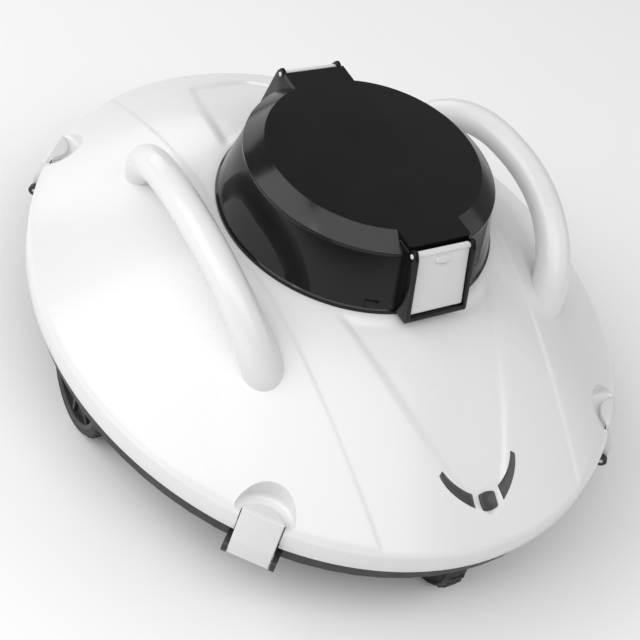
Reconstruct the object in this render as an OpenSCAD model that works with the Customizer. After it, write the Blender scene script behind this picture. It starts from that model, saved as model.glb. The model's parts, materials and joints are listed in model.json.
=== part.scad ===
// Cordless pool cleaner with twin water jets, in millimetres.
// +Z up, -Y is the nose, Z = 0 is the floor that the wheels stand on.

/* [Body] */
// Width of the oval cover
body_w = 370; // [364:1:376]
// Length of the oval cover
body_l = 428; // [422:1:436]
// Height of the cover's lower edge above the floor
skirt_z = 66; // [65:0.5:67]
// Height of the near-vertical skirt
skirt_h = 14.6; // [13:0.1:16]
// Wall thickness of the cover
cover_wall = 3.2; // [2.8:0.1:3.4]
// Ground clearance under the flat of the pan
clearance = 16; // [15.5:0.1:16.5]

/* [Jet drum] */
// Radius of the drum where it meets the cover
drum_r = 85; // [84.5:0.1:85.5]
// Radius under the lid's chamfer
lid_r = 77.3; // [77:0.1:77.6]
// Radius of the lid's flat top
lid_flat_r = 66; // [64:0.5:67]
// Height of the lid's top above the floor
lid_z = 195; // [195:0.1:195.5]
// How far the drum sits back from, or ahead of, the middle
drum_y = -4; // [-5:0.5:-3]

/* [Flaps and latches] */
// Width of an outlet flap
flap_w = 36.2; // [35:0.1:36.4]
// Width of a latch plate
latch_w = 25; // [23:0.5:25.5]
// Angle of the latches round the oval, from the long axis
latch_angle = 43; // [41:1:45]

/* [Wheels] */
// Radius of a side wheel over its tyre
wheel_r = 36; // [36:0.1:36.4]
// Width of a side wheel
wheel_w = 16; // [14:0.5:16]
// Radius of an end roller
roller_r = 25; // [25:0.1:25.3]
// Width of an end roller
roller_w = 18; // [16:0.5:18.5]

/* [Handles] */
// Radius of the grab bar
bar_r = 10; // [9:0.1:11]
// Height of the bar's centre line at its top
bar_top_z = 170; // [168:0.5:171]

/* [Hidden] */

white = "white";
black = "#1c1c1e";
steel = "silver";
rubber = "#2b2b2b";
eps = 0.01;
fine = 64;
facets = 72;

// Half axes of the oval and the heights of the cover
rx = body_w / 2;
ry = body_l / 2;
crease_z = skirt_z + skirt_h;
land_z = 147;
land_r = 88;
dome_power = 1.28;
dome_steps = 6;
hole_r = 62;

// Oval at fraction t from the drum land (0) to the rim (1), drawn in by inset
function mix(a, b, t) = a + (b - a) * t;
function dome_z(t) = land_z - (land_z - crease_z) * pow(t, dome_power);
function oval_point(a, t, inset, z) = [
  (mix(land_r, rx, t) - inset) * cos(a),
  mix(drum_y, 0, t) + (mix(land_r, ry, t) - inset) * sin(a), z];
function oval_ring(t, inset, z) = [for (i = [0:facets - 1]) oval_point(360 * i / facets, t, inset, z)];
function plain_ring(ax, ay, z) =
  [for (i = [0:facets - 1]) [ax * cos(360 * i / facets), ay * sin(360 * i / facets), z]];

// Closed solid through rings of equal count, listed from the bottom up
module loft(rings) {
  n = len(rings[0]);
  m = len(rings);
  points = [for (r = rings) each r];
  sides = [for (i = [0:m - 2], j = [0:n - 1]) let (a = i * n, b = (i + 1) * n, k = (j + 1) % n)
    each [[a + j, b + j, b + k], [a + j, b + k, a + k]]];
  floor_face = [for (j = [0:n - 1]) j];
  roof_face = [for (j = [n - 1:-1:0]) (m - 1) * n + j];
  polyhedron(points, concat([floor_face], sides, [roof_face]));
}

// ---------- places ----------

// Latch positions: x to the right, the nose at -Y
latch_x = rx * sin(latch_angle);
latch_y = ry * cos(latch_angle);
latch_turn = atan2(sin(latch_angle) / rx, cos(latch_angle) / ry);

// Child's +X points straight out of the oval at the rim
module at_latch(side, end) {
  translate([side * latch_x, end * latch_y, 0])
    rotate([0, 0, atan2(end * cos(latch_turn), side * sin(latch_turn))])
      children();
}

module at_all_latches() {
  for (side = [-1, 1], end = [-1, 1]) at_latch(side, end) children();
}

// Child is drawn with +Y away from the drum's centre; end is -1 at the nose
module at_drum_end(end) {
  translate([0, drum_y, 0]) rotate([0, 0, end > 0 ? 0 : 180]) children();
}

// Bar along X, through a point of the YZ plane
module x_bar(r, half, y, z) {
  translate([-half, y, z]) rotate([0, 90, 0]) cylinder(r = r, h = 2 * half, $fn = fine);
}

// Extrudes a [y, z] outline along X, centred
module x_slab(width) {
  translate([-width / 2, 0, 0])
    rotate([90, 0, 90]) linear_extrude(width) children();
}

module box(x, y, z) {
  translate([x[0], y[0], z[0]]) cube([x[1] - x[0], y[1] - y[0], z[1] - z[0]]);
}

// ---------- cover ----------

scoop_r = 18.5;
ledge_z = crease_z + 1.4;
pocket_depth = 4.2;
pocket_half = 13.3;
screw_ring_r = 68;
screw_angles = [0, 55, 125, 180, 235, 305];

function cover_rings(inset, drop, low) = concat(
  [oval_ring(1, inset, low), oval_ring(1, inset, crease_z - 0.8 - drop),
    oval_ring(1, inset + 0.5, crease_z - drop)],
  [for (k = [dome_steps - 1:-1:0]) let (t = k / dome_steps)
    oval_ring(t, k == 0 ? inset : inset * 0.6, dome_z(t) - drop)]);

module at_drum_screws() {
  for (a = screw_angles)
    translate([screw_ring_r * cos(a), drum_y + screw_ring_r * sin(a), 0]) children();
}

module scoop_backing() {
  at_all_latches() {
    translate([0, 0, ledge_z - 4.5]) cylinder(r = scoop_r + 3, h = 24, $fn = fine);
    box([-pocket_depth - 3.4, 2], [-pocket_half - 3, pocket_half + 3], [skirt_z - 1, ledge_z]);
  }
}

module top_cover() {
  color(white) difference() {
    loft(cover_rings(0, 0, skirt_z));
    difference() {
      loft(cover_rings(cover_wall, cover_wall, skirt_z - 1));
      scoop_backing();
    }
    at_all_latches() {
      translate([0, 0, ledge_z]) cylinder(r = scoop_r, h = 30, $fn = fine);
      box([-pocket_depth, 4], [-pocket_half, pocket_half], [skirt_z - 2, ledge_z + 2]);
    }
    translate([0, drum_y, land_z - 10]) cylinder(r = hole_r, h = 20, $fn = fine);
    at_drum_screws() translate([0, 0, land_z - 10]) cylinder(r = 1.7, h = 20, $fn = 24);
    for (side = [-1, 0, 1]) at_window(side)
      translate([0, 0, -9]) linear_extrude(12) window_outline(side, 0.2);
  }
}

// ---------- indicator windows ----------

// Each flat lens follows the dome's slope at the nose; the wings also fall away sideways
window_y = -186;
window_tilt = 32.6;
window_roll = 4;
window_z = 99.4;

module at_window(side) {
  translate([0, window_y, window_z + 0.45 * abs(side)])
    rotate([window_tilt, side * window_roll, 0]) children();
}

// side: -1 left wing, 0 middle lens, 1 right wing; drawn in the tilted plane
module window_outline(side, grow = 0) {
  offset(delta = grow)
    if (side == 0) {
      polygon([[-4.9, -3.4], [4.9, -3.4], [5.2, -12.8], [0, -13.6], [-5.2, -12.8]]);
    } else {
      scale([side, 1]) polygon([[24.3, 16], [25.6, 11.4], [20, 0.8], [15.6, -4.8], [10.4, -9.6],
        [9.8, -0.7], [15.2, 4.6], [20, 10.4]]);
    }
}

module window_lens(side) {
  color("#4a4a4d") at_window(side) translate([0, 0, -3.4]) linear_extrude(3.7) window_outline(side);
}

module status_window_left() { window_lens(-1); }
module status_window_mid() { window_lens(0); }
module status_window_right() { window_lens(1); }

module light_board() {
  color("#1f5c3a") at_window(0) {
    translate([-22, -12, -13]) cube([44, 20, 1.6]);
    for (x = [-14, 0, 14]) translate([x, -4, -11.5]) cylinder(r = 2.4, h = 4, $fn = 24);
  }
}

// ---------- handles ----------

bar_half_y = 83;
bar_mid_y = -3;
bar_foot_z = 108.5;
bar_foot_x = 95;
bar_lean = 0.3368;
bar_bulge = 2.23;
bar_rings = 25;
bar_sides = 20;
bar_start = 7;

function signed_pow(v, p) = sign(v) * pow(abs(v), p);
// The front foot runs a little further forward than the rear one runs back
bar_toe = 3.5;
function toe(s) = bar_toe * pow(max(0, -cos(s)), 6);
// Centre line of the right bar at angle s, from the rear foot (0) to the front foot (180)
function bar_point(s) = let (h = (bar_top_z - bar_foot_z) * pow(sin(s), 2 / bar_bulge))
  [bar_foot_x + bar_lean * h,
    bar_mid_y + bar_half_y * signed_pow(cos(s), 2 / bar_bulge) - toe(s),
    bar_foot_z + h];
function unit(v) = v / norm(v);
// The bar swells a little towards each foot
function bar_radius(s) = bar_r + 2.5 * pow(abs(cos(s)), 4);
function bar_ring(s) = let (
    along = unit(bar_point(s + 0.5) - bar_point(s - 0.5)),
    out = unit([1, 0, bar_lean] - along * (along * [1, 0, bar_lean])),
    up = cross(along, out))
  [for (i = [0:bar_sides - 1]) let (a = 360 * i / bar_sides)
    bar_point(s) + bar_radius(s) * (cos(a) * out + sin(a) * up)];

module bar() {
  color(white) loft([for (i = [0:bar_rings - 1])
    bar_ring(bar_start + (180 - 2 * bar_start) * i / (bar_rings - 1))]);
}

module handle_right() { bar(); }
module handle_left() { mirror([1, 0, 0]) bar(); }

module handle_screws() {
  foot = bar_point(bar_start);
  color(steel)
    for (side = [-1, 1], end = [-1, 1])
      translate([side * foot[0], bar_mid_y + end * (foot[1] - bar_mid_y - 2), foot[2] - 12]) {
        cylinder(r = 3.5, h = 2.4, $fn = 24);
        translate([0, 0, 2.4]) cylinder(r = 1.6, h = 16, $fn = 24);
      }
}

// ---------- drum ----------

drum_floor_z = 150;
rim_z = 184;
snout_half = 21;
ear_wall = 2.6;
tunnel_half = snout_half - ear_wall;
tunnel_z = 153.5;
snout_top_z = 191.8;
// Axis of a flap, as distance from the drum's centre and height
pivot_d = 81.3;
pivot_z = 191.4;
stub_r = 1.5;
// The flap's face leans out by this much for each millimetre of drop
face_lean = 0.3228;
tongue_end = 77.3;
jet_z = 172;
duct_r = 16.5;
capsule_r = 17;
capsule_half = 36;

module drum_posts() {
  at_drum_screws() translate([0, 0, drum_floor_z - eps]) cylinder(r = 4.5, h = 30, $fn = fine);
}

module snout() {
  at_drum_ends() {
    x_slab(2 * snout_half)
      polygon([[66, drum_floor_z + 0.5], [94.8, drum_floor_z + 0.5], [96.2, 153], [85.2, 192.2],
        [79, snout_top_z], [66, snout_top_z]]);
    x_bar(4, snout_half, pivot_d, pivot_z);
  }
}

module at_drum_ends() {
  for (end = [-1, 1]) at_drum_end(end) children();
}

// Slanted strips that the closed flap rests against
module flap_stops() {
  at_drum_ends() for (side = [-1, 1])
    translate([side * (tunnel_half - 0.9 + eps), 0, 0]) x_slab(1.8)
      polygon([[88.6, tunnel_z - 1], [91.6, tunnel_z - 1], [80.7, 188], [77.8, 188]]);
}

// Two beams with saddles that carry the motor capsule over the passage
module cradle() {
  translate([0, drum_y, 0]) for (end = [-1, 1]) difference() {
    union() {
      box([-60, 60], [end * 24 - 3, end * 24 + 3], [land_z, 152]);
      box([-12, 12], [end * 24 - 3, end * 24 + 3], [151, 160]);
    }
    translate([0, 100, jet_z]) rotate([90, 0, 0]) cylinder(r = capsule_r + 0.05, h = 200, $fn = fine);
  }
}

module drum_body() {
  color(black) difference() {
    union() {
      difference() {
        union() {
          translate([0, drum_y, 0]) rotate_extrude($fn = 96)
            polygon([[58, land_z], [drum_r + 1.5, land_z], [drum_r + 1.5, 149.5], [drum_r, drum_floor_z],
              [77, rim_z], [74, rim_z], [drum_r - 3.2, drum_floor_z], [58, drum_floor_z]]);
          snout();
        }
        at_drum_ends() box([-tunnel_half, tunnel_half], [55, 110], [tunnel_z, 210]);
      }
      drum_posts();
      flap_stops();
      cradle();
    }
    at_drum_screws() translate([0, 0, 140]) cylinder(r = 1.6, h = 60, $fn = 24);
    at_drum_ends() x_bar(stub_r + 0.05, snout_half + 5, pivot_d, pivot_z);
  }
}

module drum_lid() {
  color(black) difference() {
    union() {
      difference() {
        translate([0, drum_y, 0]) rotate_extrude($fn = 96)
          polygon([[0, lid_z - 3], [65, lid_z - 3], [71.2, 187], [71.2, 180.4], [73.8, 180.4],
            [73.8, rim_z + 0.2], [lid_r, rim_z + 0.2], [lid_r, 186.4], [lid_flat_r, lid_z], [0, lid_z]]);
        at_drum_ends() box([-snout_half - 0.3, snout_half + 0.3], [56, 100], [170, lid_z - 3 + eps]);
      }
      at_drum_ends() box([-snout_half, snout_half], [50, tongue_end], [lid_z - 3, lid_z]);
      at_drum_screws() translate([0, 0, 180.4]) cylinder(r = 4.5, h = lid_z - 3 - 180.4 + eps, $fn = fine);
    }
    at_drum_screws() translate([0, 0, 180]) cylinder(r = 1.52, h = 9, $fn = 24);
  }
}

module drum_seal() {
  color(rubber) translate([0, drum_y, 0]) difference() {
    rotate_extrude($fn = 96) translate([70.2, 182]) circle(r = 0.9, $fn = 16);
    for (end = [-1, 1]) box([-25, 25], [end * 75 - 25, end * 75 + 25], [170, 190]);
    for (a = screw_angles) translate([screw_ring_r * cos(a), screw_ring_r * sin(a), 170])
      cylinder(r = 5, h = 30, $fn = fine);
  }
}

module drum_screws() {
  color(steel) at_drum_screws() {
    translate([0, 0, 141]) cylinder(r = 3, h = 2.6, $fn = 24);
    translate([0, 0, 143.5]) cylinder(r = 1.5, h = 44, $fn = 24);
  }
}

// ---------- outlet flaps ----------

flap_foot_z = 156.1;
flap_top_z = 194;
flap_t = 2.4;
knuckle_r = 1.9;

module outlet_flap(end) {
  color(white) at_drum_end(end) {
    x_slab(flap_w) {
      polygon([for (p = [[0, flap_top_z], [0, flap_foot_z], [-flap_t, flap_foot_z], [-flap_t, flap_top_z]])
        [81.7 + (194.2 - p[1]) * face_lean + p[0] * 1.05, p[1]]]);
      translate([pivot_d, pivot_z]) circle(r = knuckle_r, $fn = fine);
    }
    x_bar(stub_r, snout_half - 0.2, pivot_d, pivot_z);
    // finger tab near the top of the face
    x_slab(11) polygon([[84.2, 187.4], [85.8, 186.9], [86.9, 183.6], [85.4, 183.9]]);
  }
}

module flap_front() { outlet_flap(-1); }
module flap_rear() { outlet_flap(1); }

// ---------- latches ----------

// Local frame: x out from the rim, y along it
hinge_u = 3.6;
hinge_z = 56.5;
pin_r = 1.5;
ear_in = 13;
ear_out = 16;

module latch(side, end) {
  color(white) at_latch(side, end) difference() {
    union() {
      translate([0, latch_w / 2, 0]) rotate([90, 0, 0]) linear_extrude(latch_w)
        polygon([[7.2, 57], [-0.8, 84.6], [-2, 86], [-5, 86],
          [-5, 82.3], [-3.9, 82.3], [1.4, 64], [1.2, 57]]);
      intersection() {
        box([-9.6, -1.4], [-latch_w / 2, latch_w / 2], [82.3, 86]);
        translate([3.9, 0, 80]) cylinder(r = 13.5, h = 10, $fn = fine);
      }
      translate([hinge_u, latch_w / 2, hinge_z])
        rotate([90, 0, 0]) cylinder(r = 3.6, h = latch_w, $fn = fine);
    }
    translate([hinge_u, 30, hinge_z]) rotate([90, 0, 0]) cylinder(r = pin_r + 0.06, h = 60, $fn = fine);
  }
}

module latch_front_left() { latch(-1, -1); }
module latch_front_right() { latch(1, -1); }
module latch_rear_left() { latch(-1, 1); }
module latch_rear_right() { latch(1, 1); }

module latch_pins() {
  color(steel) at_all_latches() translate([hinge_u, ear_out, hinge_z])
    rotate([90, 0, 0]) cylinder(r = pin_r, h = 2 * ear_out, $fn = fine);
}

// ---------- base pan ----------

pan_inset = 5;
pan_wall = 3;
pan_top_z = 76;
pan_edge_z = 53;
flat_ax = 118;
flat_ay = 142;
floor_top = clearance + pan_wall;
well_in = 146;
well_out = 175;
well_r = 41;
roller_y = 175;
roller_half = 10.4;
slot_half_x = 52;
slot_half_y = 11;
inlet_d = 58;
socket_x = 98;
socket_y = 30;
button_y = -30;
// Hinge of the charging cap, out from the socket's axis
cap_hinge_u = 12.5;
cap_hinge_z = 14.35;

module pan_solid(inset, low, top) {
  loft([plain_ring(flat_ax - inset * 0.7, flat_ay - inset * 0.7, low),
    plain_ring(rx - pan_inset - 2 - inset, ry - pan_inset - 2 - inset, pan_edge_z - 2 + inset * 0.5),
    plain_ring(rx - pan_inset - inset, ry - pan_inset - inset, pan_edge_z + inset * 0.5),
    plain_ring(rx - pan_inset - inset, ry - pan_inset - inset, top)]);
}

module side_well(grow) {
  for (side = [-1, 1]) translate([side * (well_in + well_out) / 2, 0, wheel_r])
    rotate([0, 90, 0])
      cylinder(r = well_r + grow, h = well_out - well_in + 2 * grow, center = true, $fn = 96);
}

module roller_well(grow) {
  for (end = [-1, 1])
    x_bar(roller_r + 2.5 + grow, roller_half + grow, end * roller_y, roller_r);
}

// Plates beside each roller that hold its axle
module roller_forks() {
  for (side = [-1, 1], end = [-1, 1])
    box([side * (roller_half + 1.5) - 1.5, side * (roller_half + 1.5) + 1.5],
      [end * roller_y - 8, end * roller_y + 8], [18, 50]);
}

module latch_ears() {
  at_all_latches() for (side = [-1, 1]) {
    middle = side * (ear_in + ear_out) / 2;
    box([-9, hinge_u], [middle - 1.5, middle + 1.5], [hinge_z - 4, hinge_z + 4]);
    translate([hinge_u, middle + 1.5, hinge_z]) rotate([90, 0, 0]) cylinder(r = 4, h = 3, $fn = fine);
  }
}

module axle_bosses() {
  for (side = [-1, 1]) translate([side * 143.5, 0, wheel_r])
    rotate([0, 90, 0]) cylinder(r = 8, h = 5, center = true, $fn = fine);
}

module cap_lugs() {
  for (side = [-1, 1])
    box([socket_x + cap_hinge_u - 1.8, socket_x + cap_hinge_u + 1.8],
      [socket_y + side * 6 - 1.6, socket_y + side * 6 + 1.6], [clearance - 3.4, clearance + 1]);
}

module base_pan() {
  color(black) difference() {
    union() {
      difference() {
        pan_solid(0, clearance, pan_top_z);
        difference() {
          pan_solid(pan_wall, floor_top, pan_top_z + 1);
          side_well(2.5);
          roller_well(2.5);
          translate([socket_x, socket_y, 0]) cylinder(r = 11, h = 40.6, $fn = fine);
          translate([socket_x, button_y, 0]) cylinder(r = 11, h = 30, $fn = fine);
        }
        side_well(0);
        roller_well(0);
        box([-well_out, -well_in], [-well_r, well_r], [-5, wheel_r]);
        box([well_in, well_out], [-well_r, well_r], [-5, wheel_r]);
      }
      roller_forks();
      latch_ears();
      axle_bosses();
      cap_lugs();
    }
    // room for the cover's latch pockets and the swing of the latch plates
    at_all_latches() {
      box([-12, 6], [-pocket_half - 3.6, pocket_half + 3.6], [skirt_z - 0.4, 90]);
      translate([hinge_u, latch_w / 2 + 0.4, hinge_z]) rotate([90, 0, 0])
        cylinder(r = 4.4, h = latch_w + 0.8, $fn = fine);
      translate([hinge_u, 30, hinge_z]) rotate([90, 0, 0]) cylinder(r = pin_r + 0.02, h = 60, $fn = fine);
    }
    for (end = [-1, 1])
      box([-slot_half_x, slot_half_x],
        [drum_y + end * inlet_d - slot_half_y, drum_y + end * inlet_d + slot_half_y], [0, 30]);
    x_bar(4.02, 300, 0, wheel_r);
    // spot faces that clear the axle screws' heads
    for (side = [-1, 1]) translate([side * 138.5, 0, wheel_r])
      rotate([0, 90, 0]) cylinder(r = 5, h = 5, center = true, $fn = fine);
    for (end = [-1, 1]) x_bar(3.02, 60, end * roller_y, roller_r);
    translate([socket_x, socket_y, 0]) cylinder(r = 8.02, h = 60, $fn = fine);
    translate([socket_x, button_y, 0]) cylinder(r = 6.1, h = 60, $fn = fine);
    translate([socket_x, button_y, floor_top]) cylinder(r = 8, h = 30, $fn = fine);
    translate([socket_x + cap_hinge_u, socket_y, cap_hinge_z]) rotate([90, 0, 0])
      cylinder(r = 0.95, h = 30, center = true, $fn = fine);
  }
}

// ---------- wheels ----------

wheel_x = 158;
rim_r = 30;
axle_r = 4;

module side_wheel(side) {
  color(black) translate([side * wheel_x, 0, wheel_r]) rotate([0, side * 90, 0]) difference() {
    union() {
      difference() {
        cylinder(r = rim_r, h = wheel_w, center = true, $fn = 96);
        translate([0, 0, 2]) cylinder(r = rim_r - 3, h = wheel_w, $fn = 96);
        translate([0, 0, -2 - wheel_w]) cylinder(r = rim_r - 3, h = wheel_w, $fn = 96);
      }
      cylinder(r = 8, h = wheel_w, center = true, $fn = fine);
      for (k = [0:4]) rotate([0, 0, 72 * k]) translate([7, -1.5, -wheel_w / 2 + 1])
        cube([rim_r - 9, 3, wheel_w - 2]);
    }
    cylinder(r = axle_r + 0.06, h = 40, center = true, $fn = fine);
  }
}

module side_tyre(side) {
  color(rubber) translate([side * wheel_x, 0, wheel_r]) rotate([0, 90, 0]) rotate_extrude($fn = 96)
    polygon([[rim_r, -wheel_w / 2], [wheel_r - 1.5, -wheel_w / 2], [wheel_r, -wheel_w / 2 + 2],
      [wheel_r, wheel_w / 2 - 2], [wheel_r - 1.5, wheel_w / 2], [rim_r, wheel_w / 2]]);
}

module wheel_left() { side_wheel(-1); }
module wheel_right() { side_wheel(1); }
module tyre_left() { side_tyre(-1); }
module tyre_right() { side_tyre(1); }

module end_roller(end) {
  h = roller_w / 2;
  color(rubber) translate([0, end * roller_y, roller_r]) rotate([0, 90, 0]) rotate_extrude($fn = 96)
    polygon([[3.06, -h], [roller_r - 9, -h], [roller_r - 8, -h + 2], [roller_r - 5, -h + 2],
      [roller_r - 3.5, -h], [roller_r, -h + 5], [roller_r, h - 5], [roller_r - 3.5, h], [roller_r - 5, h - 2],
      [roller_r - 8, h - 2], [roller_r - 9, h], [3.06, h]]);
}

module wheel_front() { end_roller(-1); }
module wheel_rear() { end_roller(1); }

module side_axles() {
  color(steel) for (side = [-1, 1]) translate([0, 0, wheel_r]) rotate([0, side * 90, 0]) difference() {
    union() {
      translate([0, 0, 141]) cylinder(r = axle_r, h = 26, $fn = fine);
      translate([0, 0, 166.6]) cylinder(r = 7, h = 2.4, $fn = fine);
    }
    translate([0, 0, 140]) cylinder(r = 1.52, h = 16, $fn = fine);
  }
}

module axle_screws() {
  color(steel) for (side = [-1, 1]) translate([0, 0, wheel_r]) rotate([0, side * 90, 0]) {
    translate([0, 0, 138.4]) cylinder(r = 4.6, h = 2.4, $fn = fine);
    translate([0, 0, 140.8]) cylinder(r = 1.5, h = 14, $fn = fine);
  }
}

module roller_axles() {
  color(steel) for (end = [-1, 1]) x_bar(3, roller_half + 3.6, end * roller_y, roller_r);
}

// ---------- filter and inlets ----------

tray_x = 76;
tray_half_y = 92;
tray_z = 20;
tray_top = 62;
inlet_hinge_z = 24.1;

module tray_windows() {
  translate([0, drum_y, 0]) {
    for (y = [-60, 0, 60]) box([-90, 90], [y - 24, y + 24], [32, 56]);
    for (x = [-38, 38]) box([x - 28, x + 28], [-110, 110], [32, 56]);
  }
}

module filter_tray() {
  color(black) translate([0, drum_y, 0]) difference() {
    union() {
      difference() {
        box([-tray_x, tray_x], [-tray_half_y, tray_half_y], [tray_z, tray_top]);
        box([-tray_x + 2, tray_x - 2], [-tray_half_y + 2, tray_half_y - 2], [tray_z + 2, tray_top + 1]);
      }
      for (end = [-1, 1], side = [-1, 1])
        box([side * 57.3 - 1.8, side * 57.3 + 1.8], [end * 43.5 - 2.6, end * 43.5 + 2.6],
          [tray_z + 1, inlet_hinge_z + 2.4]);
    }
    translate([0, -drum_y, 0]) tray_windows();
    for (end = [-1, 1]) {
      box([-slot_half_x, slot_half_x], [end * inlet_d - slot_half_y, end * inlet_d + slot_half_y], [0, 23]);
      x_bar(1.25, 64, end * 43.5, inlet_hinge_z);
    }
  }
}

// Woven screen in each tray window and under the lid, drawn as crossed bars
module screen(size, height, pitch) {
  for (x = [-size / 2:pitch:size / 2]) translate([x - 0.4, -0.4, 0]) cube([0.8, 0.8, height]);
  for (z = [0:pitch:height]) translate([-size / 2, -0.4, z - 0.4]) cube([size, 0.8, 0.8]);
}

module filter_mesh() {
  color("gainsboro") translate([0, drum_y, 0]) {
    for (side = [-1, 1], y = [-60, 0, 60])
      translate([side * (tray_x - 1), y, 32]) rotate([0, 0, 90]) screen(48, 24, 8);
    for (end = [-1, 1], x = [-38, 38])
      translate([x, end * (tray_half_y - 1), 32]) screen(56, 24, 8);
  }
}

module filter_lid() {
  color(black) translate([0, drum_y, 0]) {
    difference() {
      box([-tray_x, tray_x], [-tray_half_y, tray_half_y], [tray_top + 0.2, tray_top + 3]);
      translate([0, 0, tray_top - 1]) cylinder(r = 58, h = 8, $fn = 96);
    }
    for (k = [-50:12.5:50]) {
      reach = sqrt(58.5 * 58.5 - k * k);
      box([k - 0.9, k + 0.9], [-reach, reach], [tray_top + 0.6, tray_top + 2]);
      box([-reach, reach], [k - 0.9, k + 0.9], [tray_top + 0.6, tray_top + 2]);
    }
  }
}

module suction_duct() {
  color(black) translate([0, drum_y, 0]) rotate_extrude($fn = 96)
    polygon([[61, tray_top + 3.1], [73, tray_top + 3.1], [73, tray_top + 5.6], [70, tray_top + 8],
      [64, 143.7], [61.5, 143.7], [67, tray_top + 8]]);
}

module inlet_flap(end) {
  color(rubber) translate([0, drum_y, 0]) {
    box([-54.8, 54.8], [min(end * 43.5, end * 72), max(end * 43.5, end * 72)], [22.3, 24.1]);
    x_bar(1.8, 54.8, end * 43.5, inlet_hinge_z);
    x_bar(1.2, 58.8, end * 43.5, inlet_hinge_z);
  }
}

module inlet_flap_front() { inlet_flap(-1); }
module inlet_flap_rear() { inlet_flap(1); }

module inlet_lips() {
  color(rubber) for (end = [-1, 1], side = [-1, 1]) {
    y = drum_y + end * inlet_d + side * 14;
    box([-56, 56], [y - 1.5, y + 1.5], [5, clearance]);
  }
}

// ---------- pumps ----------

module duct(end) {
  color(black) at_drum_end(end) difference() {
    union() {
      translate([0, 73, jet_z]) rotate([90, 0, 0]) cylinder(r = 18.2, h = 17, $fn = 96);
      box([-18.1, 18.1], [70, 73], [tunnel_z + 0.3, 190]);
    }
    translate([0, 90, jet_z]) rotate([90, 0, 0]) cylinder(r = duct_r, h = 60, $fn = 96);
  }
}

module duct_front() { duct(-1); }
module duct_rear() { duct(1); }

// Cylinder along the jet axis between two distances from the drum's centre
module jet_cylinder(r, from, to) {
  translate([0, to, jet_z]) rotate([90, 0, 0]) cylinder(r = r, h = to - from, $fn = fine);
}

module motor_capsule() {
  color(black) translate([0, drum_y, 0]) difference() {
    jet_cylinder(capsule_r, -capsule_half, capsule_half);
    difference() {
      jet_cylinder(15, -capsule_half - 1, capsule_half + 1);
      for (d = [-26, -11, 11, 26]) jet_cylinder(16, d - 1, d + 1);
    }
    jet_cylinder(12.1, -capsule_half - 1, capsule_half + 1);
  }
}

module capsule_cap(end) {
  color(black) at_drum_end(end) difference() {
    union() {
      jet_cylinder(capsule_r, capsule_half + 0.8, capsule_half + 4);
      jet_cylinder(14.9, capsule_half - 1.6, capsule_half + 1);
    }
    jet_cylinder(4, capsule_half + 0.5, capsule_half + 10);
    jet_cylinder(1.7, 0, 80);
  }
}

module capsule_cap_front() { capsule_cap(-1); }
module capsule_cap_rear() { capsule_cap(1); }

module capsule_gaskets() {
  color("#7a2f2f") at_drum_ends() difference() {
    jet_cylinder(capsule_r, capsule_half, capsule_half + 0.8);
    jet_cylinder(15, capsule_half - 1, capsule_half + 2);
  }
}

module motor(end) {
  color(steel) at_drum_end(end) difference() {
    union() {
      jet_cylinder(12, 5, 32);
      jet_cylinder(4.5, 31.9, 33.8);
    }
    jet_cylinder(1.6, 4, 40);
  }
}

module motor_front() { motor(-1); }
module motor_rear() { motor(1); }

module shaft(end) { color(steel) at_drum_end(end) jet_cylinder(1.5, 7, 69); }

module shaft_front() { shaft(-1); }
module shaft_rear() { shaft(1); }

module shaft_seals() {
  color(rubber) at_drum_ends() difference() {
    jet_cylinder(3.98, capsule_half + 0.6, capsule_half + 3.6);
    jet_cylinder(1.55, 0, 80);
  }
}

module impeller(end) {
  color("dimgray") at_drum_end(end) difference() {
    union() {
      jet_cylinder(5, 58, 68);
      intersection() {
        jet_cylinder(15.7, 58.4, 67.6);
        for (k = [0:3]) translate([0, 63, jet_z]) rotate([0, 90 * k, 0]) rotate([0, 0, 35])
          translate([-0.8, -9, 3]) cube([1.6, 18, 14]);
      }
    }
    jet_cylinder(1.49, 0, 80);
  }
}

module impeller_front() { impeller(-1); }
module impeller_rear() { impeller(1); }

// ---------- battery and controls ----------

cell_r = 9.15;
cell_l = 65;

module case_shell(x, y, z) {
  difference() {
    box(x, y, z);
    box([x[0] + 2.5, x[1] - 2.5], [y[0] + 2.5, y[1] - 2.5], [z[0] + 2.5, z[1] + 1]);
  }
}

module battery_case() { color("#333336") case_shell([-140, -88], [-72, 72], [46, 90]); }
module battery_lid() { color("#333336") box([-140, -88], [-72, 72], [90.1, 92.6]); }

module battery_cells() {
  color("#2f6f9f") for (x = [-123.6, -104.4], z = [58, 77.2], y = [-cell_l - 1, 1])
    translate([x, y + cell_l, z]) rotate([90, 0, 0]) cylinder(r = cell_r, h = cell_l, $fn = fine);
}

module control_case() {
  color("#333336") difference() {
    case_shell([84, 138], [-60, 60], [41, 68]);
    translate([socket_x, socket_y, 30]) cylinder(r = 8.02, h = 20, $fn = fine);
  }
}

module control_lid() { color("#333336") box([84, 138], [-60, 60], [68.1, 70.6]); }

module circuit_board() {
  color("#1f5c3a") {
    box([88, 134], [-54, 54], [53, 54.6]);
    box([94, 108], [-40, -22], [54.5, 60]);
    box([114, 128], [-30, 10], [54.5, 57]);
    for (y = [22, 38]) translate([122, y, 54.5]) cylinder(r = 5, h = 10, $fn = 32);
  }
}

module power_button() {
  color(rubber) translate([socket_x, button_y, 0]) {
    translate([0, 0, clearance - 1]) cylinder(r = 6.04, h = 8, $fn = fine);
    translate([0, 0, floor_top + 0.2]) cylinder(r = 7.4, h = 2, $fn = fine);
    translate([0, 0, 22]) cylinder(r = 2.5, h = 16, $fn = fine);
  }
}

module charging_socket() {
  color("#444448") translate([socket_x, socket_y, 0]) {
    difference() {
      translate([0, 0, 26]) cylinder(r = 8, h = 24, $fn = fine);
      translate([0, 0, 20]) cylinder(r = 2.8, h = 16, $fn = fine);
    }
    translate([0, 0, 27.5]) cylinder(r = 1, h = 9, $fn = 24);
  }
}

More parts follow.
